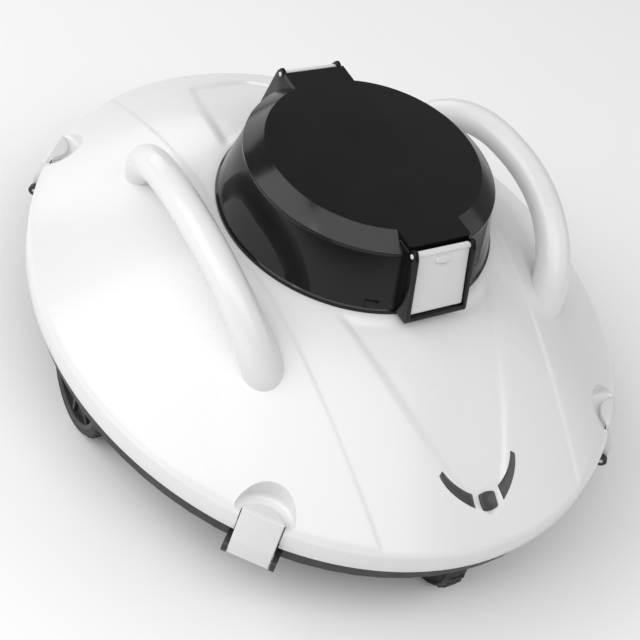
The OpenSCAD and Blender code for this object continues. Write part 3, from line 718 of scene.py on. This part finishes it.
def make_cover():
    """The oval shell: drum land, dome with its relief, rounded rim, skirt and a thin inner wall."""
    count = 720
    turns = np.linspace(0, 2 * math.pi, count, endpoint=False)
    scoops = [latch_frame(name)[:2, 3] for name in LATCHES]
    rows = []

    def add(x, y, z):
        rows.append(np.stack([x, y, np.broadcast_to(z, x.shape)], 1))

    hole = 62.0
    for r in (hole, hole + 0.8, 75.0, 84.0):
        lift = LAND_Z - (0.5 if r == hole else 0)
        add(r * np.cos(turns), DRUM_Y + r * np.sin(turns), lift)
    for t in np.concatenate([np.linspace(0, 0.9, 66), np.linspace(0.912, 0.984, 9)]):
        x, y = dome_plan(turns, t)
        add(x, y, dome_height(t) + dome_relief(x, y, t))
    rim_round = 2.0
    for a in np.radians((52, 40, 26, 12, 0)):
        x, y = dome_plan(turns, 1, rim_round * (1 - math.cos(a)))
        add(x, y, CREASE_Z - 0.9 + rim_round * (math.sin(a) - 0.26))
    for inset, z in ((0, SKIRT_Z + 7), (0, SKIRT_Z + 1.2), (0.35, SKIRT_Z + 0.35), (1.2, SKIRT_Z),
                     (WALL - 0.4, SKIRT_Z), (WALL, SKIRT_Z + 0.4), (WALL, CREASE_Z - 4.5)):
        x, y = dome_plan(turns, 1, inset)
        add(x, y, z)
    for t in np.linspace(0.97, 0, 22):
        x, y = dome_plan(turns, t, WALL * 0.5)
        z = dome_height(t) - WALL
        near = np.min([np.hypot(x - sx, y - sy) for sx, sy in scoops], axis=0)
        add(x, y, np.where(near < 26, np.minimum(z, LEDGE_Z - 4), z))
    add(hole * np.cos(turns), DRUM_Y + hole * np.sin(turns), LAND_Z - WALL)
    points = np.vstack(rows)
    shell = build("cover_shell", points, loft_faces(len(rows), count, loop=True), WHITE, 32)

    scoop_tools, pocket_tools = [], []
    for name in LATCHES:
        axes = latch_frame(name)
        scoop_tools.append(scoop_cutter(axes))
        corners = [(SKIRT_Z - 4, -POCKET_HALF), (LEDGE_Z + 1.5, -POCKET_HALF),
                   (LEDGE_Z + 1.5, POCKET_HALF), (SKIRT_Z - 4, POCKET_HALF)]
        pocket = rounded(corners, [0, 1.5, 1.5, 0], 4)
        # outline lies in (height, along); the slab's own axis runs outwards
        sideways = axes @ frame_matrix((0, 0, 0), (0, 0, 1), (0, 1, 0), (1, 0, 0))
        pocket_tools.append(slab("pocket", pocket, -4.2, 6, 0.01, None, sideways, 1))
    pane_tools = [slab("pane_hole", window_outline(side, 0.25), -9, 6, 0.01, None, window_matrix(side), 1)
                  for side in (-1, 0, 1)]
    for tools in (scoop_tools, pocket_tools, pane_tools):
        shell = carve(shell, join("cover_cutters", tools), 32)

    backs = [shell]
    for name in LATCHES:
        axes = latch_frame(name)
        backs.append(block((-7.6, -4.2), (-POCKET_HALF - 3, POCKET_HALF + 3), (SKIRT_Z, LEDGE_Z - 0.1), axes))
    for back in backs[1:]:
        back.data.materials.append(WHITE)
    cover = join("cover_shell", backs)
    settle(cover, "hull", "cover_white", "top_cover")


def make_windows():
    """Smoked lenses in the nose: one in the middle and a wing to each side."""
    for side, name in ((-1, "left"), (0, "mid"), (1, "right")):
        pane = slab("window_" + name, window_outline(side), -3.4, 0.3, 0.35, FINISHES["smoked_lens"],
                    window_matrix(side))
        settle(pane, "hull", "smoked_lens", "status_window_" + name)


# ---------- grab bars ----------

BAR_HALF_Y, BAR_MID_Y = 83.0, -3.0
BAR_FOOT_X, BAR_FOOT_Z, BAR_TOP_Z = 95.0, 108.5, 170.0
BAR_LEAN, BAR_BULGE = 0.3368, 2.23
BAR_TOE = 3.5


def make_grab_bars():
    """Oval-arched bars that lean outwards, a little thicker where they run into the cover."""
    power = 2 / BAR_BULGE
    s = np.radians(np.linspace(7, 173, 110))
    rise = (BAR_TOP_Z - BAR_FOOT_Z) * np.sin(s) ** power
    toe = BAR_TOE * np.clip(-np.cos(s), 0, None) ** 6
    y = BAR_MID_Y + BAR_HALF_Y * np.sign(np.cos(s)) * np.abs(np.cos(s)) ** power - toe
    radii = 10 + 2.5 * np.abs(np.cos(s)) ** 4
    for side, name in ((-1, "left"), (1, "right")):
        path = np.stack([side * (BAR_FOOT_X + BAR_LEAN * rise), y, BAR_FOOT_Z + rise], 1)
        grip = sweep("grab_bar_" + name, path, radii, WHITE, 48, (side, 0, BAR_LEAN))
        settle(grip, "hull", "cover_white", "handle_" + name)


# ---------- jet drum ----------

SNOUT_HALF, EAR_WALL = 21.0, 2.6
TUNNEL_HALF = SNOUT_HALF - EAR_WALL
TUNNEL_Z = 153.5
FLOOR_Z = 150.0
RIM_Z = 184.0
FACE_LEAN = 0.3228
SCREW_ANGLES = (0, 55, 125, 180, 235, 305)
SCREW_RING = 68.0


def end_frame(end):
    """Axes of an outlet: across, away from the drum's centre and up; end is -1 at the nose."""
    return frame_matrix((0, DRUM_Y, 0), (end, 0, 0), (0, end, 0), (0, 0, 1))


def side_frame(end, x):
    """Axes for an outline drawn as (distance from the drum's centre, height), thick along X from x."""
    return end_frame(end) @ frame_matrix((x, 0, 0), (0, 1, 0), (0, 0, 1), (1, 0, 0))


def make_drum():
    """Tapered drum with a foot flange, two outlet frames and the inner posts."""
    profile = rounded([(58, LAND_Z), (86.4, LAND_Z), (86.4, 149.2), (85.0, 150.3), (76.9, RIM_Z), (74, RIM_Z),
                       (82, FLOOR_Z), (58, FLOOR_Z)], [0.3, 0.5, 0.8, 0.5, 0.5, 0.3, 0.5, 0.3], 3)
    drum = revolve("jet_drum", profile, (0, DRUM_Y), BLACK, 216)
    tunnels = [block((-TUNNEL_HALF, TUNNEL_HALF), (55, 110), (TUNNEL_Z, 215), end_frame(end))
               for end in (-1, 1)]
    parts = [carve(drum, join("tunnels", tunnels))]
    for end in (-1, 1):
        ear = rounded([(67, 150.4), (94.9, 150.4), (96.2, 153.2), (85.6, 191.0), (82.6, 195.3), (79.2, 194.6),
                       (77.8, 191.7), (67, 191.7)], [0.4, 1.2, 2.2, 4, 1.8, 2.0, 0.6, 0.4], 4)
        for x0, x1 in ((-SNOUT_HALF, -TUNNEL_HALF), (TUNNEL_HALF, SNOUT_HALF)):
            parts.append(slab("ear", ear, x0, x1, 0.55, BLACK, side_frame(end, 0)))
        sill = rounded([(67, 150.45), (94.8, 150.45), (96.15, 152.6), (95.2, 155.3), (92.3, 155.3),
                        (91.4, TUNNEL_Z), (67, TUNNEL_Z)], [0.3, 1.0, 0.7, 0.5, 0.4, 0.3, 0.3], 3)
        parts.append(slab("sill", sill, -SNOUT_HALF + 0.3, SNOUT_HALF - 0.3, 0.3, BLACK, side_frame(end, 0)))
        stop = [(88.6, TUNNEL_Z - 1), (91.6, TUNNEL_Z - 1), (80.7, 188), (77.8, 188)]
        for side in (-1, 1):
            x0, x1 = sorted((side * (TUNNEL_HALF - 1.8), side * (TUNNEL_HALF + 0.2)))
            parts.append(slab("stop", stop, x0, x1, 0.15, BLACK, side_frame(end, 0), 1))
        # small moulded tab at the drum's foot, beside the outlet and flush with the leaning wall
        tab = rounded([(-4, 0), (4, 0), (4, 5), (-4, 5)], 0.6, 3)
        lean, turn, foot_r, foot_z = math.radians(13.3), 23.5, 84.9, 150.4
        for side in (-1, 1):
            a = math.radians(90 + side * turn)
            out = np.array([math.cos(a), math.sin(a), 0])
            along = np.array([-math.sin(a), math.cos(a), 0])
            up = np.array([0, 0, math.cos(lean)]) - math.sin(lean) * out
            face = np.cross(along, up)
            base = np.array([0, 0, foot_z]) + foot_r * out
            parts.append(slab("tab", tab, -1.5, 0.9, 0.3, BLACK,
                              end_frame(end) @ frame_matrix(base, along, up, face), 2))
    for a in SCREW_ANGLES:
        x, y = SCREW_RING * math.cos(math.radians(a)), DRUM_Y + SCREW_RING * math.sin(math.radians(a))
        parts.append(bar("post", 4.5, FLOOR_Z - 0.5, 180, 2, (x, y, 0), BLACK, 32))
    for end in (-1, 1):
        y = DRUM_Y + end * 24
        beam = [(-60, y - 3), (60, y - 3), (60, y + 3), (-60, y + 3)]
        parts.append(slab("beam", beam, LAND_Z, 152, 0.4, BLACK))
        cradle = rounded([(-12, 151), (12, 151), (12, 159.8), (8, 157), (0, 154.9), (-8, 157), (-12, 159.8)],
                         [0, 0, 0.5, 6, 12, 6, 0.5], 4)
        saddle = frame_matrix((0, y, 0), (1, 0, 0), (0, 0, 1), (0, -1, 0))
        parts.append(slab("cradle", cradle, -3, 3, 0.3, BLACK, saddle))
    settle(join("jet_drum", parts), "hull", "drum_black", "drum_body")


def make_lid():
    """Flat lid with a broad chamfer, and a tongue that reaches over each outlet."""
    profile = rounded([(0, LID_Z - 3), (65, LID_Z - 3), (71.2, 187), (71.2, 180.4), (73.8, 180.4),
                       (73.8, RIM_Z + 0.2), (LID_R, RIM_Z + 0.2), (LID_R, 186.3), (66, LID_Z), (0, LID_Z)],
                      [0, 1, 1, 0.5, 0.5, 0.3, 0.5, 0.8, 0.9, 0], 4)
    lid = turned_solid("drum_lid", profile[1:-1], (0, DRUM_Y), LID_BLACK, 216)
    skin, gap, under = 0.02, 0.3, LID_Z - 3
    wide = (-SNOUT_HALF - gap, SNOUT_HALF + gap)
    notches = [block(wide, (56, 100), (170, under - 2 * skin), end_frame(end)) for end in (-1, 1)]
    tongues = [block((-SNOUT_HALF, SNOUT_HALF), (50, 77.3), (under - skin, LID_Z + skin), end_frame(end))
               for end in (-1, 1)]
    lid = carve(lid, join("notches", notches))
    lid = combine(lid, join("tongues", tongues), "UNION")
    parts = [lid]
    for a in SCREW_ANGLES:
        x, y = SCREW_RING * math.cos(math.radians(a)), DRUM_Y + SCREW_RING * math.sin(math.radians(a))
        parts.append(bar("boss", 4.5, 180.4, 189, 2, (x, y, 0), LID_BLACK, 32))
    settle(join("drum_lid", parts), "hull", "drum_black", "drum_lid")


def make_outlet_flaps():
    """White flaps that hang in the outlet frames, with an oblong finger rib near the top."""
    half, foot_z, top_z, thick = 18.1, 156.1, 194.0, 2.4
    for end, name in ((-1, "front"), (1, "rear")):
        down = np.array([0, FACE_LEAN, -1.0])
        down /= np.linalg.norm(down)
        face = np.cross(np.array([1.0, 0, 0]), -down)
        if face[1] < 0:
            face = -face
        top = np.array([0, 81.7 + (194.2 - top_z) * FACE_LEAN, top_z])
        length = (top_z - foot_z) / -down[2]
        axes = end_frame(end) @ frame_matrix(top, (1, 0, 0), -down, np.cross((1, 0, 0), -down))
        out = 1 if (np.cross((1, 0, 0), -down) @ face) > 0 else -1
        z0, z1 = sorted((-thick * out, 0))
        outline = rounded([(-half, 0), (-half, -length), (half, -length), (half, 0)], [1.6, 1.2, 1.2, 1.6], 6)
        parts = [slab("leaf", outline, z0, z1, 0.8, SOFT_WHITE, axes)]
        rib = rounded([(-5.5, -5.4), (5.5, -5.4), (5.5, -8.9), (1.8, -8.9), (1.8, -9.6), (-1.8, -9.6),
                       (-1.8, -8.9), (-5.5, -8.9)], [1.5, 1.5, 1.5, 0.2, 0.3, 0.3, 0.2, 1.5], 4)
        r0, r1 = sorted((-0.3 * out, 1.35 * out))
        parts.append(slab("rib", rib, r0, r1, 0.5, SOFT_WHITE, axes))
        hinge = pivot(f"flap_{name}_hinge")
        parts.append(bar("knuckle", 1.85, -half, half, 0, hinge, SOFT_WHITE, 32))
        parts.append(bar("stub", 1.5, -21.3, 21.3, 0, hinge, SOFT_WHITE, 24))
        settle(join("outlet_flap_" + name, parts), f"flap_{name}", "cover_white", f"flap_{name}")


# ---------- latches ----------

def make_latches():
    """Over-centre latches: a leaning plate with a half-moon cap that drops into the scoop."""
    half = 12.5
    for name in LATCHES:
        axes = latch_frame(name)
        sideways = axes @ frame_matrix((0, 0, 0), (1, 0, 0), (0, 0, 1), (0, -1, 0))
        plate = rounded([(7.2, 57), (6.4, 66.5), (2.5, 78.5), (-0.9, 85.0), (-2.0, 85.8), (-5, 85.8),
                         (-5, 82.35), (-3.9, 82.35), (1.3, 64), (1.2, 57)],
                        [0.9, 12, 12, 0.9, 0.4, 0.3, 0.3, 0.6, 1.0, 0.4], 5)
        parts = [slab("plate", plate, -half, half, 0.7, SOFT_WHITE, sideways)]
        turns = np.linspace(math.pi / 2, 3 * math.pi / 2, 24)
        moon = [(3.9 + 13.5 * math.cos(a), 13.5 * math.sin(a)) for a in turns]
        moon = [p for p in moon if p[0] < -2.4 and abs(p[1]) < half - 0.1]
        cap = [(-1.3, half - 0.05)] + moon + [(-1.3, -half + 0.05)]
        parts.append(slab("cap", np.array(cap), 82.3, 86, 0.6, SOFT_WHITE, axes))
        knuckle = rounded([(3.6 * math.cos(a) + 3.6, 3.6 * math.sin(a) + 56.5)
                           for a in np.linspace(0, 2 * math.pi, 32, endpoint=False)], 0.0)
        parts.append(slab("knuckle", knuckle, -half, half, 0.5, SOFT_WHITE, sideways))
        settle(join(name + "_body", parts), name, "cover_white", name)


# ---------- base and running gear ----------

def make_pan():
    """Black pan, whose shape is the frame's own."""
    pan = smoothed_copy("base_pan", "base_tub", FINISHES["base_black"])
    settle(pan, "hull", "base_black", "base_pan")


def screw_head():
    """Pan-head screw with a cross recess, drawn about its own axis."""
    turns = np.linspace(0, 2 * math.pi, 24, endpoint=False)
    rows = [(3.0, 0), (3.0, -0.5), (2.7, -1.0), (2.0, -1.4), (1.0, -1.6)]
    points = [(r * math.cos(a), r * math.sin(a), z) for r, z in rows for a in turns]
    head = build("screw_head", points, loft_faces(len(rows), 24), None, 30)
    for k in range(2):
        x, y = ((-1.6, 1.6), (-0.35, 0.35)) if k else ((-0.35, 0.35), (-1.6, 1.6))
        head = carve(head, block(x, y, (-3, -0.8)))
    return head


def make_underside():
    """Screws round the pan's flat."""
    steel = FINISHES["stainless"]
    flat_z = 16.0
    place = frame_matrix((0, 0, flat_z), (1, 0, 0), (0, 1, 0), (0, 0, 1))
    screws = ring_of("pan_screws", screw_head(), 8, 92, steel, place, math.radians(22.5))
    settle(screws, "hull", "stainless")


def tread_lug(width, height):
    """One cross lug of a tyre, drawn at the origin with its foot inwards along X."""
    half = width / 2
    outline = rounded([(-0.6, -half), (height, -half + 1.2), (height, half - 1.2), (-0.6, half)],
                      [0, 0.6, 0.6, 0], 3)
    lift = frame_matrix((0, 0, 0), (1, 0, 0), (0, 0, 1), (0, -1, 0))
    return slab("lug", outline, -1.3, 1.3, 0.4, None, lift, 2)


def wheel_axes(centre):
    """Axes with Z along the row's X, for a wheel about that centre."""
    return frame_matrix(centre, (0, 1, 0), (0, 0, 1), (1, 0, 0))


def make_side_wheels():
    """Spoked side wheels in lugged rubber tyres."""
    rubber, hard = FINISHES["tyre_rubber"], FINISHES["wheel_black"]
    for side, name in ((-1, "left"), (1, "right")):
        centre = pivot(f"wheel_{name}_axle")
        low, high = extent("tyre_" + name)
        radius, half = (high[2] - low[2]) / 2, (high[0] - low[0]) / 2
        axes = wheel_axes(centre)
        band = rounded([(30, -half), (radius - 2.6, -half), (radius - 1.4, -half + 2),
                        (radius - 1.4, half - 2), (radius - 2.6, half), (30, half)],
                       [0.4, 1.2, 1.2, 1.2, 1.2, 0.4], 4)
        tyre = revolve("tyre_band", band, (0, 0), rubber, 144, 30, axes)
        lugs = ring_of("tyre_lugs", tread_lug(2 * half - 3, 1.3), 36, radius - 1.4, rubber, axes)
        settle(join("side_tyre_" + name, [tyre, lugs]), "wheel_" + name, "tyre_rubber", "tyre_" + name)

        hub = rounded([(4.06, -half), (8.5, -half), (8.5, half), (4.06, half)], [0.3, 0.8, 0.8, 0.3], 3)
        disc_out, disc_in = sorted((side * (half - 3.5), side * (half - 6.0)))
        disc = rounded([(8, disc_out), (8, disc_in), (27.5, disc_in), (27.5, disc_out)], [0, 0, 0, 0], 1)
        rim = rounded([(26.6, -half), (30, -half), (30, half), (26.6, half)], [0.8, 0, 0, 0.8], 3)
        parts = [revolve("hub", hub, (0, 0), hard, 64, 30, axes),
                 revolve("disc", disc, (0, 0), hard, 96, 30, axes),
                 revolve("rim", rim, (0, 0), hard, 144, 30, axes)]
        spoke = rounded([(7.5, -1.6), (27.5, -1.3), (27.5, 1.3), (7.5, 1.6)], 0.0)
        z0, z1 = sorted((side * (half - 5), side * (half - 1.2)))
        part = slab("spoke", spoke, z0, z1, 0.5, None, None, 2)
        parts.append(ring_of("spokes", part, 8, 0, hard, axes))
        settle(join("side_wheel_" + name, parts), "wheel_" + name, "wheel_black", "wheel_" + name)


def make_end_rollers():
    """Waisted rubber rollers with cross lugs."""
    rubber = FINISHES["tyre_rubber"]
    for name in ("front", "rear"):
        centre = pivot(f"wheel_{name}_axle")
        low, high = extent("wheel_" + name)
        radius, h = (high[2] - low[2]) / 2, (high[0] - low[0]) / 2
        band = rounded([(3.06, -h), (radius - 9, -h), (radius - 8, -h + 2), (radius - 5, -h + 2),
                        (radius - 3.5, -h), (radius - 1, -h + 4.5), (radius - 1, h - 4.5),
                        (radius - 3.5, h), (radius - 5, h - 2), (radius - 8, h - 2), (radius - 9, h),
                        (3.06, h)],
                       [0.3, 0.5, 0.3, 0.3, 0.8, 3, 3, 0.8, 0.3, 0.3, 0.5, 0.3], 4)
        axes = wheel_axes(centre)
        roller = revolve("roller_band", band, (0, 0), rubber, 120, 30, axes)
        lugs = ring_of("roller_lugs", tread_lug(2 * h - 7, 1.0), 26, radius - 1.0, rubber, axes)
        settle(join("end_roller_" + name, [roller, lugs]), "wheel_" + name, "tyre_rubber", "wheel_" + name)


# ---------- stage ----------

def make_stage():
    """Pale floor, soft lights and the camera."""
    mesh = bpy.data.meshes.new("floor")
    reach = 6.0
    mesh.from_pydata([(-reach, -reach, 0), (reach, -reach, 0), (reach, reach, 0), (-reach, reach, 0)], [],
                     [(0, 1, 2, 3)])
    mesh.materials.append(studio_floor())
    floor = bpy.data.objects.new("floor", mesh)
    bpy.context.scene.collection.objects.link(floor)

    def softbox(name, place, target, size, power):
        light = bpy.data.lights.new(name, "AREA")
        light.shape = "RECTANGLE"
        light.size, light.size_y = size
        light.energy = power
        obj = bpy.data.objects.new(name, light)
        obj.location = place
        obj.rotation_euler = (Vector(target) - Vector(place)).to_track_quat("-Z", "Y").to_euler()
        bpy.context.scene.collection.objects.link(obj)

    softbox("key", (-2.0, 0.6, 1.7), (0, 0, 0.1), (2.6, 2.2), 44)
    softbox("top", (-0.6, -1.2, 2.5), (0, 0, 0.1), (2.8, 1.8), 35)
    softbox("fill", (2.0, -1.0, 1.4), (0, 0, 0.1), (1.8, 1.6), 8)
    softbox("back", (-0.1, 2.4, 0.62), (0, 0, 0.15), (1.6, 0.9), 7)

    world = bpy.data.worlds.new("studio")
    world.use_nodes = True
    world.node_tree.nodes["Background"].inputs["Color"].default_value = (1, 1, 1, 1)
    world.node_tree.nodes["Background"].inputs["Strength"].default_value = 0.3
    scene = bpy.context.scene
    scene.world = world
    scene.view_settings.view_transform = "Standard"

    lens = bpy.data.cameras.new("camera")
    lens.lens = 80.83
    camera = bpy.data.objects.new("camera", lens)
    place = Vector((-0.4512, -0.5069, 0.7109))
    target = Vector((-0.04677, -0.05935, 0.12))
    roll = 19.24
    aim = (target - place).to_track_quat("-Z", "Y").to_matrix().to_4x4()
    camera.matrix_world = Matrix.Translation(place) @ aim @ Matrix.Rotation(math.radians(roll), 4, "Z")
    bpy.context.scene.collection.objects.link(camera)
    scene.camera = camera


make_stage()
finish_cad_nodes()
make_cover()
make_windows()
make_grab_bars()
make_drum()
make_lid()
make_outlet_flaps()
make_latches()
make_pan()
make_underside()
make_side_wheels()
make_end_rollers()
